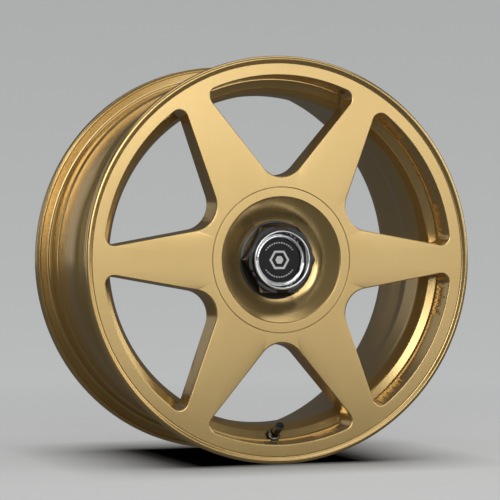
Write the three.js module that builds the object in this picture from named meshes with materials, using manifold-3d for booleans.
// An eighteen-inch forged racing wheel. A six-spoke disc is set into a rim barrel. A dished cover
// plate hides the lug bolts, and a large hexagonal nut holds it on a threaded adapter in the hub
// bore. A clamp-in tyre valve stands in the window at the bottom.
//
// Millimetres. The axle runs along Y, the outer face looks along -Y, +Z is up, and the origin is
// the middle of the wheel. In the sections below, a point is [radius from the axle, depth behind
// the front lip].
import * as THREE from "three";
import { mergeVertices } from "three/addons/utils/BufferGeometryUtils.js";
import Module from "manifold-3d";

const wasm = await Module();
wasm.setup();

// Rim, 18 x 8.5 with J flanges
const WIDTH = 240.7;
const FLANGE_RADIUS = 248.3;
const FLANGE_WIDTH = 12.5;
const SEAT_RADIUS = 231;
const WELL_RADIUS = 209;
const WELL_INSIDE = 203.6;
const RIM_SIDES = 40;

// Face and spokes
const FACE = 3.1;
const LIP_INSIDE = 239.8;
const LIP_CREST = 244.3;
const SPOKES = 6;
const SPOKE_HALF_WIDTH = 37.3;
const SPOKE_WIDTH_RADIUS = 100;
const SPOKE_TAPER = 0.176;
const SPOKE_BACK_INNER = 36.5;
const SPOKE_BACK_OUTER = 31.4;
const WINDOW_RADIUS = 224.8;
const WINDOW_CORNER = 11.5;
const WINDOW_APEX = 31;
const WINDOW_BEVEL = 1.3;
const WINDOW_DRAFT_SIDE = 1.2;
const WINDOW_DRAFT_RIM = 3.2;
const SEAT_BORE = 227.9;

// Hub
const HUB_PAD = 80.35;
const HUB_FLOOR = 54.35;
const HUB_RADIUS = 72;
const HUB_BORE = 36.55;
const ADAPTER_BORE = 28.8;
const ADAPTER_SHOULDER = 64.65;
const LUGS = 5;
const LUG_CIRCLE = 57.15;
const LUG_BORE = 7.25;
const LUG_POCKET = 13.5;

// Cover plate and nut
const COVER_RADIUS = 88.6;
const COVER_RECESS = 89;
const COVER_DISH = 77;
const COVER_LEDGE = 7.4;
const NUT_HALF_FLATS = 40;
const NUT_FRONT = 6.1;
const NUT_FLANGE = 48;
const NUT_FLANGE_BACK = 23.3;
const NUT_SLEEVE = 33.2;
const NUT_THREAD = 28.8;
const NUT_SIDES = 36;
const TRIM_RADIUS = 35.9;
const EMBLEM_RADIUS = 27;

// Valve: its own axis leans from the axle towards the wheel's centre
const VALVE_DEPTH = 34.3;
const VALVE_RADIUS = 215.3;
const VALVE_LEAN = 26.5;
const VALVE_SIDES = 16;

const GAP = 0.3;

const finish = (color, roughness, metalness) =>
  new THREE.MeshStandardMaterial({ color, roughness, metalness });

const gold = finish(0xcdb078, 0.38, 0.75);
const barrelGold = finish(0xb89a62, 0.42, 0.75);
const glossBlack = finish(0x0c0c0d, 0.12, 0.1);
const emblemBlack = finish(0x08080a, 0.25, 0.0);
const chrome = finish(0xe6e8ea, 0.08, 1.0);
const aluminium = finish(0xa7aaad, 0.4, 0.9);
const darkMetal = finish(0x2b2c2f, 0.35, 0.8);
const springSteel = finish(0x55585c, 0.4, 0.9);
const brass = finish(0xb98f45, 0.35, 0.9);
const rubber = finish(0x141414, 0.85, 0.0);
const plastic = finish(0x1c1d1f, 0.6, 0.0);

const group = new THREE.Group();
const valve = new THREE.Group();
valve.position.set(0, VALVE_DEPTH - WIDTH / 2, -VALVE_RADIUS);
valve.rotation.x = Math.PI - THREE.MathUtils.degToRad(VALVE_LEAN);
valve.updateMatrixWorld(true);
group.add(valve);

function piece(name, material, geometry, parent = group) {
  const mesh = new THREE.Mesh(geometry, material);
  mesh.name = name;
  parent.add(mesh);
}

// Points of an arc in a section. Angle 0 points away from the axle and 90 to the back.
function bend(radius, depth, size, from, to, steps = 2) {
  return Array.from({ length: steps + 1 }, (_, i) => {
    const angle = THREE.MathUtils.degToRad(from + ((to - from) * i) / steps);
    return [radius + size * Math.cos(angle), depth + size * Math.sin(angle)];
  });
}

const signedArea = (points) =>
  points.reduce((sum, [x, y], i) => {
    const [nextX, nextY] = points[(i + 1) % points.length];
    return sum + (x * nextY - nextX * y) / 2;
  }, 0);

// A section turned about Y. Its flats touch the true circle, and one of them looks down.
function turned(section, sides, along = (depth) => depth - WIDTH / 2) {
  const onAxis = section[0][0] === 0;
  const ordered = signedArea(section) > 0 ? section : [...section].reverse();
  const start = onAxis ? ordered.findIndex(([r], i) => r === 0 && ordered.at(i - 1)[0] === 0) : 0;
  const loop = [...ordered.slice(start), ...ordered.slice(0, start)];
  if (!onAxis) loop.push(loop[0]);
  const grow = 1 / Math.cos(Math.PI / sides);
  const points = loop.map(([radius, depth]) => new THREE.Vector2(radius * grow, along(depth)));
  return new THREE.LatheGeometry(points, sides, Math.PI / sides);
}

// A tube or ring between two depths, as a section.
const tube = (inner, outer, front, back) => [
  [inner, front],
  [outer, front],
  [outer, back],
  [inner, back],
];

function solid(geometry) {
  const bare = new THREE.BufferGeometry();
  bare.setAttribute("position", geometry.toNonIndexed().getAttribute("position"));
  const merged = mergeVertices(bare, 1e-3);
  return new wasm.Manifold(
    new wasm.Mesh({
      numProp: 3,
      vertProperties: merged.getAttribute("position").array,
      triVerts: new Uint32Array(merged.index.array),
    }),
  );
}

function surface(shape) {
  const mesh = shape.getMesh();
  const geometry = new THREE.BufferGeometry();
  geometry.setAttribute("position", new THREE.BufferAttribute(mesh.vertProperties, 3));
  geometry.setIndex(new THREE.BufferAttribute(mesh.triVerts, 1));
  geometry.computeVertexNormals();
  return geometry;
}

// A solid through convex outlines that have the same number of points, front to back.
function loft(outlines) {
  const count = outlines[0].length;
  const last = (outlines.length - 1) * count;
  const faces = [];
  for (let k = 0; k < outlines.length - 1; k++)
    for (let i = 0; i < count; i++) {
      const a = k * count + i;
      const b = k * count + ((i + 1) % count);
      faces.push(a, b + count, b, a, a + count, b + count);
    }
  for (let i = 1; i < count - 1; i++) faces.push(0, i, i + 1, last, last + i + 1, last + i);
  const geometry = new THREE.BufferGeometry();
  const flat = outlines.flat().flatMap((point) => point.toArray());
  geometry.setAttribute("position", new THREE.Float32BufferAttribute(flat, 3));
  geometry.setIndex(faces);
  return geometry;
}

// The cutter turned to every place round the axle, starting at one angle in degrees.
function around(cutter, count, first) {
  return Array.from({ length: count }, (_, i) => {
    const angle = THREE.MathUtils.degToRad(first + (360 * i) / count);
    return solid(cutter.clone().rotateY(-angle));
  });
}

const cutAll = (body, cutters) => cutters.reduce((rest, cutter) => rest.subtract(cutter), body);

const shifted = (geometry, radius) => geometry.translate(radius, 0, 0);

// Rim barrel ------------------------------------------------------------------------------------

const FLANGE_CURL = 4;
const SEAT_FILLET = 4.5;
const REAR_ROUND = 1.5;

function rimSection() {
  const roll = FLANGE_RADIUS - LIP_CREST;
  const curl = FLANGE_RADIUS - FLANGE_CURL;
  const fillet = SEAT_RADIUS + SEAT_FILLET;
  const rear = WIDTH - FLANGE_WIDTH;
  return [
    [SEAT_BORE, COVER_LEDGE + 1],
    [LIP_INSIDE, COVER_LEDGE + 1],
    [LIP_INSIDE, FACE + 0.2],
    [LIP_INSIDE + 0.9, FACE - 0.5],
    [LIP_CREST - 1, 0.4],
    ...bend(LIP_CREST, roll, roll, 270, 360, 3),
    ...bend(curl, FLANGE_WIDTH - FLANGE_CURL, FLANGE_CURL, 0, 90),
    ...bend(fillet, FLANGE_WIDTH + SEAT_FILLET, SEAT_FILLET, 270, 180),
    [SEAT_RADIUS - 1.5, 33],
    [SEAT_RADIUS - 0.6, 35.5],
    [SEAT_RADIUS - 1.6, 38.5],
    [WELL_RADIUS, 58],
    [WELL_RADIUS, 97],
    [226, 133],
    [228.4, 196],
    [230.6, 199.5],
    [229.5, 203.5],
    ...bend(fillet, rear - SEAT_FILLET, SEAT_FILLET, 180, 90),
    ...bend(curl, rear + FLANGE_CURL, FLANGE_CURL, 270, 360),
    ...bend(FLANGE_RADIUS - REAR_ROUND, WIDTH - REAR_ROUND, REAR_ROUND, 0, 90),
    [231.4, WIDTH],
    [230, WIDTH - 1.5],
    [226, 224],
    [222.8, 184],
    [220.6, 134],
    [WELL_INSIDE, 98.5],
    [WELL_INSIDE, 53.1],
    [211, 42],
    [220.2, 31.8],
    [220.6, 28.4],
    [SEAT_BORE, 28.4],
  ];
}

// The valve hole, with a flat seat counterbored on each side of the wall.
const VALVE_HOLE = 4.6;
const SEAT_VISIBLE = -3;
const SEAT_TYRE = -10;
const SEAT_FACE = 9.5;
const own = (along) => along;

function rimBarrel() {
  const hole = [
    [0, -40],
    [SEAT_FACE, -40],
    [SEAT_FACE, SEAT_TYRE],
    [VALVE_HOLE, SEAT_TYRE],
    [VALVE_HOLE, SEAT_VISIBLE],
    [SEAT_FACE, SEAT_VISIBLE],
    [SEAT_FACE, 20],
    [0, 20],
  ];
  const cutter = turned(hole, VALVE_SIDES, own).applyMatrix4(valve.matrixWorld);
  return surface(solid(turned(rimSection(), RIM_SIDES)).subtract(solid(cutter)));
}

// Spoke disc ------------------------------------------------------------------------------------

const SEAL_GROOVE = [82.6, 85.6];
const SEAL_GROOVE_FLOOR = 9.4;
const SNAP_GROOVE = [69, 70.8];
const SNAP_GROOVE_RADIUS = 38;

const discSection = () => [
  [COVER_RECESS + 0.5, FACE],
  [LIP_INSIDE - 0.9, FACE],
  [LIP_INSIDE - 0.4, FACE + 0.5],
  [LIP_INSIDE - 0.4, COVER_LEDGE + 1 - GAP],
  [SEAT_BORE - GAP, COVER_LEDGE + 1 - GAP],
  [SEAT_BORE - GAP, 28.1],
  [219.8, 28.1],
  [215.5, SPOKE_BACK_OUTER],
  [SPOKE_WIDTH_RADIUS, SPOKE_BACK_INNER],
  [86, 44],
  [79, 54],
  [74, 66],
  [HUB_RADIUS, HUB_PAD],
  [HUB_BORE + 1, HUB_PAD],
  [HUB_BORE, HUB_PAD - 1],
  [HUB_BORE, SNAP_GROOVE[1]],
  [SNAP_GROOVE_RADIUS, SNAP_GROOVE[1]],
  [SNAP_GROOVE_RADIUS, SNAP_GROOVE[0]],
  [HUB_BORE, SNAP_GROOVE[0]],
  [HUB_BORE, ADAPTER_SHOULDER],
  [ADAPTER_BORE, ADAPTER_SHOULDER],
  [ADAPTER_BORE, HUB_FLOOR],
  [72.5, HUB_FLOOR],
  [79.5, 24],
  [80, COVER_LEDGE],
  [SEAL_GROOVE[0], COVER_LEDGE],
  [SEAL_GROOVE[0], SEAL_GROOVE_FLOOR],
  [SEAL_GROOVE[1], SEAL_GROOVE_FLOOR],
  [SEAL_GROOVE[1], COVER_LEDGE],
  [COVER_RECESS, COVER_LEDGE],
  [COVER_RECESS, FACE + 0.5],
];

// The half angle of a window: half a spoke pitch, opened by the taper of the spoke beside it.
const WINDOW_HALF_ANGLE = Math.PI / SPOKES + Math.atan(SPOKE_TAPER);

// Where the two straight sides of a window would meet, on its centre line.
function windowTip() {
  const reach = Math.hypot(SPOKE_WIDTH_RADIUS, SPOKE_HALF_WIDTH);
  const angle = Math.atan2(SPOKE_HALF_WIDTH, SPOKE_WIDTH_RADIUS) - Math.PI / SPOKES;
  const across = reach * Math.sin(angle);
  return reach * Math.cos(angle) + across / Math.tan(WINDOW_HALF_ANGLE);
}

// One window's outline at a depth, its straight sides and its outer arc moved in by two insets.
function windowOutline(depth, sideInset, rimInset) {
  const sine = Math.sin(WINDOW_HALF_ANGLE);
  const cosine = Math.cos(WINDOW_HALF_ANGLE);
  const tip = windowTip() + sideInset / sine;
  const rim = WINDOW_RADIUS - rimInset;
  const inner = tip + WINDOW_CORNER / sine;
  const reach = Math.sqrt((rim - WINDOW_CORNER) ** 2 - (inner * sine) ** 2) - inner * cosine;
  const corner = [inner + reach * cosine, reach * sine];
  const turn = Math.atan2(corner[1], corner[0]);
  const side = Math.PI / 2 + WINDOW_HALF_ANGLE;
  const arcs = [
    [tip + WINDOW_APEX / sine, 0, WINDOW_APEX, side, 2 * Math.PI - side, 8],
    [corner[0], -corner[1], WINDOW_CORNER, -side, -turn, 4],
    [0, 0, rim, -turn, turn, 8],
    [corner[0], corner[1], WINDOW_CORNER, turn, side, 4],
  ];
  return arcs.flatMap(([x, z, radius, from, to, steps]) =>
    Array.from({ length: steps }, (_, i) => {
      const angle = from + ((to - from) * i) / (radius === rim ? steps : steps - 1);
      const point = [x + radius * Math.cos(angle), z + radius * Math.sin(angle)];
      return new THREE.Vector3(point[0], depth - WIDTH / 2, point[1]);
    }),
  );
}

function windowCutter() {
  const back = HUB_FLOOR;
  const share = (back - FACE - WINDOW_BEVEL) / (28.1 - FACE - WINDOW_BEVEL);
  return loft([
    windowOutline(-5, -WINDOW_BEVEL, -WINDOW_BEVEL),
    windowOutline(FACE, -WINDOW_BEVEL, -WINDOW_BEVEL),
    windowOutline(FACE + WINDOW_BEVEL, 0, 0),
    windowOutline(back, WINDOW_DRAFT_SIDE * share, WINDOW_DRAFT_RIM * share),
  ]);
}

// A shallow lightening pocket in the back of a spoke, narrower towards the rim.
const POCKET_BORDER = 11;
const POCKET_ENDS = [122, 200];
const POCKET_DEPTH = 9;
const POCKET_CORNER = 7;

function pocketOutline(depth, inset) {
  const half = (radius) =>
    SPOKE_HALF_WIDTH - SPOKE_TAPER * (radius - SPOKE_WIDTH_RADIUS) - POCKET_BORDER - inset;
  const shift = POCKET_CORNER - inset;
  const [near, far] = [POCKET_ENDS[0] + inset + shift, POCKET_ENDS[1] - inset - shift];
  const corners = [
    [near, half(near) - shift, 90],
    [near, shift - half(near), 180],
    [far, shift - half(far), 270],
    [far, half(far) - shift, 0],
  ];
  return corners.flatMap(([x, z, from]) =>
    Array.from({ length: 3 }, (_, i) => {
      const angle = THREE.MathUtils.degToRad(from + 45 * i);
      const reach = [x + shift * Math.cos(angle), z + shift * Math.sin(angle)];
      return new THREE.Vector3(reach[0], depth - WIDTH / 2, reach[1]);
    }),
  );
}

function spokeDisc() {
  const lug = [
    [0, HUB_FLOOR - 5],
    [LUG_POCKET, HUB_FLOOR - 5],
    [LUG_POCKET, HUB_FLOOR + 6],
    [LUG_BORE, HUB_FLOOR + 6 + (LUG_POCKET - LUG_BORE) * Math.sqrt(3)],
    [LUG_BORE, HUB_PAD + 5],
    [0, HUB_PAD + 5],
  ];
  const relief = [
    [0, HUB_PAD - 13],
    [8.5, HUB_PAD - 13],
    [8.5, HUB_PAD + 5],
    [0, HUB_PAD + 5],
  ];
  const dowel = [
    [0, ADAPTER_SHOULDER - 6],
    [DOWEL_RADIUS + GAP, ADAPTER_SHOULDER - 6],
    [DOWEL_RADIUS + GAP, ADAPTER_SHOULDER + 5],
    [0, ADAPTER_SHOULDER + 5],
  ];
  const pocket = loft([
    pocketOutline(SPOKE_BACK_OUTER - POCKET_DEPTH, 2),
    pocketOutline(HUB_FLOOR, 0),
  ]);
  const body = solid(turned(discSection(), RIM_SIDES));
  const pitch = 360 / SPOKES;
  return surface(
    cutAll(body, [
      ...around(windowCutter(), SPOKES, pitch / 2),
      ...around(pocket, SPOKES, 0),
      ...around(shifted(turned(lug, 16), LUG_CIRCLE), LUGS, 90),
      ...around(shifted(turned(relief, 12), LUG_CIRCLE), LUGS, 90 + 180 / LUGS),
      ...around(shifted(turned(dowel, DOWEL_SIDES), DOWEL_CIRCLE), DOWELS, 0),
    ]),
  );
}

// Cap adapter in the hub bore -------------------------------------------------------------------

const DOWELS = 2;
const DOWEL_CIRCLE = 32.7;
const DOWEL_RADIUS = 1.8;
const DOWEL_SIDES = 8;
const ADAPTER_TUBE = 28.4;
const ADAPTER_INSIDE = 25;
const ADAPTER_FRONT = 20.5;
const ADAPTER_FLANGE_BACK = 68.6;

function capAdapter() {
  const section = [
    [ADAPTER_INSIDE, ADAPTER_FRONT],
    [ADAPTER_TUBE - 0.8, ADAPTER_FRONT],
    [ADAPTER_TUBE, ADAPTER_FRONT + 0.8],
    [ADAPTER_TUBE, ADAPTER_SHOULDER + GAP],
    [HUB_BORE - GAP, ADAPTER_SHOULDER + GAP],
    [HUB_BORE - GAP, ADAPTER_FLANGE_BACK],
    [ADAPTER_INSIDE + 1, ADAPTER_FLANGE_BACK],
    [ADAPTER_INSIDE, ADAPTER_FLANGE_BACK - 1],
  ];
  const hole = [
    [0, ADAPTER_SHOULDER - 5],
    [DOWEL_RADIUS + GAP, ADAPTER_SHOULDER - 5],
    [DOWEL_RADIUS + GAP, ADAPTER_FLANGE_BACK + 5],
    [0, ADAPTER_FLANGE_BACK + 5],
  ];
  const body = solid(turned(section, NUT_SIDES));
  return surface(cutAll(body, around(shifted(turned(hole, DOWEL_SIDES), DOWEL_CIRCLE), DOWELS, 0)));
}

const dowelPin = () =>
  shifted(
    turned(
      [
        [0, ADAPTER_SHOULDER - 5.5],
        [DOWEL_RADIUS, ADAPTER_SHOULDER - 5.5],
        [DOWEL_RADIUS, ADAPTER_FLANGE_BACK - GAP],
        [0, ADAPTER_FLANGE_BACK - GAP],
      ],
      DOWEL_SIDES,
    ),
    DOWEL_CIRCLE,
  );

// A retaining ring with a gap in it, so it can be sprung into its groove.
function snapRing(inner, outer, front, back) {
  const gap = new THREE.BoxGeometry(7, 20, 2 * outer);
  gap.translate(0, (front + back) / 2 - WIDTH / 2, -outer);
  return surface(solid(turned(tube(inner, outer, front, back), NUT_SIDES)).subtract(solid(gap)));
}

const hubRing = () =>
  turned(
    [
      [28.55, 71.2],
      [HUB_BORE - GAP, 71.2],
      [HUB_BORE - GAP, HUB_PAD - GAP],
      [30, HUB_PAD - GAP],
      [28.55, HUB_PAD - 2],
    ],
    NUT_SIDES,
  );

// Cover plate and its hexagonal nut ---------------------------------------------------------------

const COVER_FLOOR = NUT_FLANGE_BACK + GAP;
const COVER_BACK = COVER_FLOOR + 3.4;
const WASHER_BACK = COVER_BACK + GAP + 1.5;
const SLEEVE_GROOVE = [WASHER_BACK + 0.1, WASHER_BACK + 2.2];
const SLEEVE_GROOVE_RADIUS = 31.6;
const SLEEVE_BACK = 33.5;

const coverPlate = () =>
  turned(
    [
      [NUT_SLEEVE + 0.4, COVER_FLOOR],
      [NUT_FLANGE + 0.5, COVER_FLOOR],
      [56.6, 20.1],
      [58.2, 18.7],
      [COVER_DISH - 0.6, 4],
      [COVER_DISH + 1, FACE],
      [COVER_RADIUS - 0.5, FACE],
      [COVER_RADIUS, FACE + 0.5],
      [COVER_RADIUS, COVER_LEDGE - GAP],
      [COVER_DISH + 0.8, COVER_LEDGE - GAP],
      [61, 21.6],
      [57.6, 23.6],
      [NUT_FLANGE + 1.2, COVER_BACK],
      [NUT_SLEEVE + 0.4, COVER_BACK],
    ],
    NUT_SIDES,
  );

const coverSeal = () =>
  turned(
    tube(SEAL_GROOVE[0] + 0.6, SEAL_GROOVE[1] - 0.6, COVER_LEDGE - 0.1, SEAL_GROOVE_FLOOR - GAP),
    NUT_SIDES,
  );

const nutWasher = () =>
  turned(tube(NUT_SLEEVE + 0.4, 41, COVER_BACK + GAP, WASHER_BACK), NUT_SIDES);

const TRIM_SEAT = 9;
const TRIM_SPIGOT = 32.6;
const EMBLEM_FRONT = 11.8;
const NUT_WEB_FRONT = 13.9;
const NUT_WEB_BACK = 17.4;

function hexNut() {
  const hexagon = turned(
    [
      [0, NUT_FRONT],
      [NUT_HALF_FLATS, NUT_FRONT],
      [NUT_HALF_FLATS, NUT_FLANGE_BACK - 1],
      [0, NUT_FLANGE_BACK - 1],
    ],
    6,
  );
  const corners = turned(
    [
      [0, NUT_FRONT],
      [NUT_HALF_FLATS + 1.2, NUT_FRONT],
      [NUT_FLANGE - 1.8, NUT_FRONT + 2.8],
      [NUT_FLANGE - 1.8, NUT_FLANGE_BACK],
      [0, NUT_FLANGE_BACK],
    ],
    NUT_SIDES,
  );
  const base = turned(
    [
      [0, NUT_FLANGE_BACK - 2.6],
      [NUT_FLANGE - 1, NUT_FLANGE_BACK - 2.6],
      [NUT_FLANGE, NUT_FLANGE_BACK - 1.6],
      [NUT_FLANGE, NUT_FLANGE_BACK],
      [NUT_SLEEVE, NUT_FLANGE_BACK],
      [NUT_SLEEVE, SLEEVE_GROOVE[0]],
      [SLEEVE_GROOVE_RADIUS, SLEEVE_GROOVE[0]],
      [SLEEVE_GROOVE_RADIUS, SLEEVE_GROOVE[1]],
      [NUT_SLEEVE, SLEEVE_GROOVE[1]],
      [NUT_SLEEVE, SLEEVE_BACK],
      [0, SLEEVE_BACK],
    ],
    NUT_SIDES,
  );
  const front = turned(
    [
      [0, NUT_FRONT - 5],
      [TRIM_RADIUS + GAP, NUT_FRONT - 5],
      [TRIM_RADIUS + GAP, TRIM_SEAT],
      [TRIM_SPIGOT + GAP, TRIM_SEAT],
      [TRIM_SPIGOT + GAP, NUT_WEB_FRONT],
      [0, NUT_WEB_FRONT],
    ],
    NUT_SIDES,
  );
  const thread = turned(
    [
      [0, NUT_WEB_BACK],
      [NUT_THREAD, NUT_WEB_BACK],
      [NUT_THREAD, SLEEVE_BACK + 5],
      [0, SLEEVE_BACK + 5],
    ],
    NUT_SIDES,
  );
  const outside = solid(hexagon).intersect(solid(corners)).add(solid(base));
  return surface(outside.subtract(solid(front)).subtract(solid(thread)));
}

const trimRing = () =>
  turned(
    [
      [TRIM_RADIUS, TRIM_SEAT - GAP],
      [TRIM_RADIUS, 1.8],
      [TRIM_RADIUS - 0.5, 0.7],
      [TRIM_RADIUS - 1.2, GAP],
      [TRIM_RADIUS - 2, 0.8],
      [30, 8.4],
      [28.9, 8.2],
      [27.6, 8.8],
      [EMBLEM_RADIUS + GAP, 10],
      [EMBLEM_RADIUS + GAP, NUT_WEB_FRONT - GAP],
      [TRIM_SPIGOT, NUT_WEB_FRONT - GAP],
      [TRIM_SPIGOT, TRIM_SEAT - GAP],
    ],
    NUT_SIDES,
  );

const emblemDisc = () =>
  turned(
    [
      [0, EMBLEM_FRONT],
      [EMBLEM_RADIUS - 0.8, EMBLEM_FRONT],
      [EMBLEM_RADIUS, EMBLEM_FRONT + 0.6],
      [EMBLEM_RADIUS, NUT_WEB_FRONT - GAP],
      [0, NUT_WEB_FRONT - GAP],
    ],
    NUT_SIDES,
  );

// Tyre valve, in its own frame: along its axis from the wall, positive towards the cap ------------

const STEM_RADIUS = 4.1;
const STEM_THREAD = 3.8;
const STEM_BORE = 2.4;
const STEM_TOP = 26;
const HEAD_BACK = -16.8;
const HEAD_FRONT = SEAT_TYRE - 4.3;
const AROUND_STEM = STEM_RADIUS + GAP;
const CORE_RADIUS = 2.1;
const CORE_BACK = 13;
const CORE_TOP = 24.5;
const CORE_SPRING_SEAT = 15;
const PIN_RADIUS = 0.55;
const PIN_COLLAR = 22.6;
const CAP_BACK = 12;
const CAP_RADIUS = 5.4;
const CAP_TOP = 29.6;

const valveTurned = (section, sides = VALVE_SIDES) => turned(section, sides, own);

const valveStem = () =>
  valveTurned([
    [1.6, HEAD_BACK],
    [8.2, HEAD_BACK],
    [8.2, HEAD_FRONT],
    [STEM_RADIUS, HEAD_FRONT],
    [STEM_RADIUS, CAP_BACK - 2],
    [STEM_THREAD, CAP_BACK - 1.5],
    [STEM_THREAD, STEM_TOP - 0.5],
    [STEM_THREAD - 0.5, STEM_TOP],
    [STEM_BORE, STEM_TOP],
    [STEM_BORE, 7.5],
    [1.6, 6.7],
  ]);

const GROMMET_TOP = 1.5;

const valveGrommet = () =>
  valveTurned([
    [AROUND_STEM, SEAT_VISIBLE + GAP],
    [8.3, SEAT_VISIBLE + GAP],
    [8.3, SEAT_VISIBLE + 1.5],
    [7.3, GROMMET_TOP],
    [AROUND_STEM, GROMMET_TOP],
  ]);

const coreBody = () =>
  valveTurned(
    [
      [0.85, CORE_BACK],
      [1.75, CORE_BACK],
      [1.75, 16],
      [CORE_RADIUS, 16.2],
      [CORE_RADIUS, CORE_TOP],
      [1.6, CORE_TOP],
      [1.6, CORE_SPRING_SEAT],
      [0.85, CORE_SPRING_SEAT],
    ],
    12,
  );

const corePin = () =>
  valveTurned(
    [
      [0, 9.6],
      [1.5, 9.6],
      [1.5, 10.7],
      [PIN_RADIUS, 10.7],
      [PIN_RADIUS, PIN_COLLAR],
      [1.3, PIN_COLLAR],
      [1.3, PIN_COLLAR + 0.6],
      [PIN_RADIUS, PIN_COLLAR + 0.6],
      [PIN_RADIUS, 25.4],
      [0, 25.6],
    ],
    10,
  );

class Helix extends THREE.Curve {
  constructor(radius, from, to, turns) {
    super();
    Object.assign(this, { radius, from, to, turns });
  }
  getPoint(t, target = new THREE.Vector3()) {
    const angle = 2 * Math.PI * this.turns * t;
    const along = this.from + (this.to - this.from) * t;
    return target.set(this.radius * Math.cos(angle), along, this.radius * Math.sin(angle));
  }
}

function coreSpring() {
  const wire = new THREE.Shape();
  wire.absarc(0, 0, 0.17, 0, 2 * Math.PI);
  const coil = new Helix(1.15, CORE_SPRING_SEAT + 0.4, PIN_COLLAR - 0.3, 5);
  return new THREE.ExtrudeGeometry(wire, { steps: 40, curveSegments: 3, extrudePath: coil });
}

const valveCap = () =>
  valveTurned([
    [0, CAP_TOP - 2.3],
    [STEM_THREAD + GAP, CAP_TOP - 2.3],
    [STEM_THREAD + GAP, CAP_BACK],
    [CAP_RADIUS, CAP_BACK],
    [CAP_RADIUS, CAP_TOP - 1.2],
    [CAP_RADIUS - 1, CAP_TOP],
    [0, CAP_TOP],
  ]);

// Assembly ----------------------------------------------------------------------------------------

piece("rim_barrel", barrelGold, rimBarrel());
piece("spoke_disc", gold, spokeDisc());
piece("hub_ring", plastic, hubRing());
piece("cap_adapter", aluminium, capAdapter());
piece("adapter_snap_ring", springSteel, snapRing(34.4, 37.6, SNAP_GROOVE[0] + 0.2, 70.6));
for (let i = 0; i < DOWELS; i++) {
  const pin = dowelPin().rotateY((2 * Math.PI * i) / DOWELS);
  piece("adapter_dowel_" + (i + 1), springSteel, pin);
}

piece("cover_plate", gold, coverPlate());
piece("cover_seal", rubber, coverSeal());
piece("nut_washer", plastic, nutWasher());
piece("hex_nut", glossBlack, hexNut());
piece("nut_snap_ring", springSteel, snapRing(31.9, 36.4, WASHER_BACK + GAP, WASHER_BACK + 1.9));
piece("trim_ring", chrome, trimRing());
piece("emblem_disc", emblemBlack, emblemDisc());

piece("valve_stem", darkMetal, valveStem(), valve);
piece(
  "valve_inner_seal",
  rubber,
  valveTurned(tube(AROUND_STEM, 8, HEAD_FRONT + 0.3, SEAT_TYRE - GAP)),
  valve,
);
piece(
  "valve_grommet",
  rubber,
  valveGrommet(),
  valve,
);
piece(
  "valve_washer",
  aluminium,
  valveTurned(tube(AROUND_STEM, 6.9, GROMMET_TOP + 0.3, GROMMET_TOP + 1.5)),
  valve,
);
piece(
  "valve_nut",
  darkMetal,
  valveTurned(tube(AROUND_STEM, 5.9, GROMMET_TOP + 1.8, GROMMET_TOP + 7.8), 6),
  valve,
);
piece("valve_core_body", brass, coreBody(), valve);
piece("valve_core_packing", rubber, valveTurned(tube(1.87, 2.28, 13.4, 15.8), 12), valve);
piece("valve_core_pin", brass, corePin(), valve);
piece("valve_core_seal", rubber, valveTurned(tube(0.7, 1.9, 10.85, 12.8), 12), valve);
piece("valve_core_spring", springSteel, coreSpring(), valve);
piece("valve_cap", darkMetal, valveCap(), valve);
piece("valve_cap_seal", rubber, valveTurned(tube(1.2, 3.7, 26.3, 27), 12), valve);

export default group;
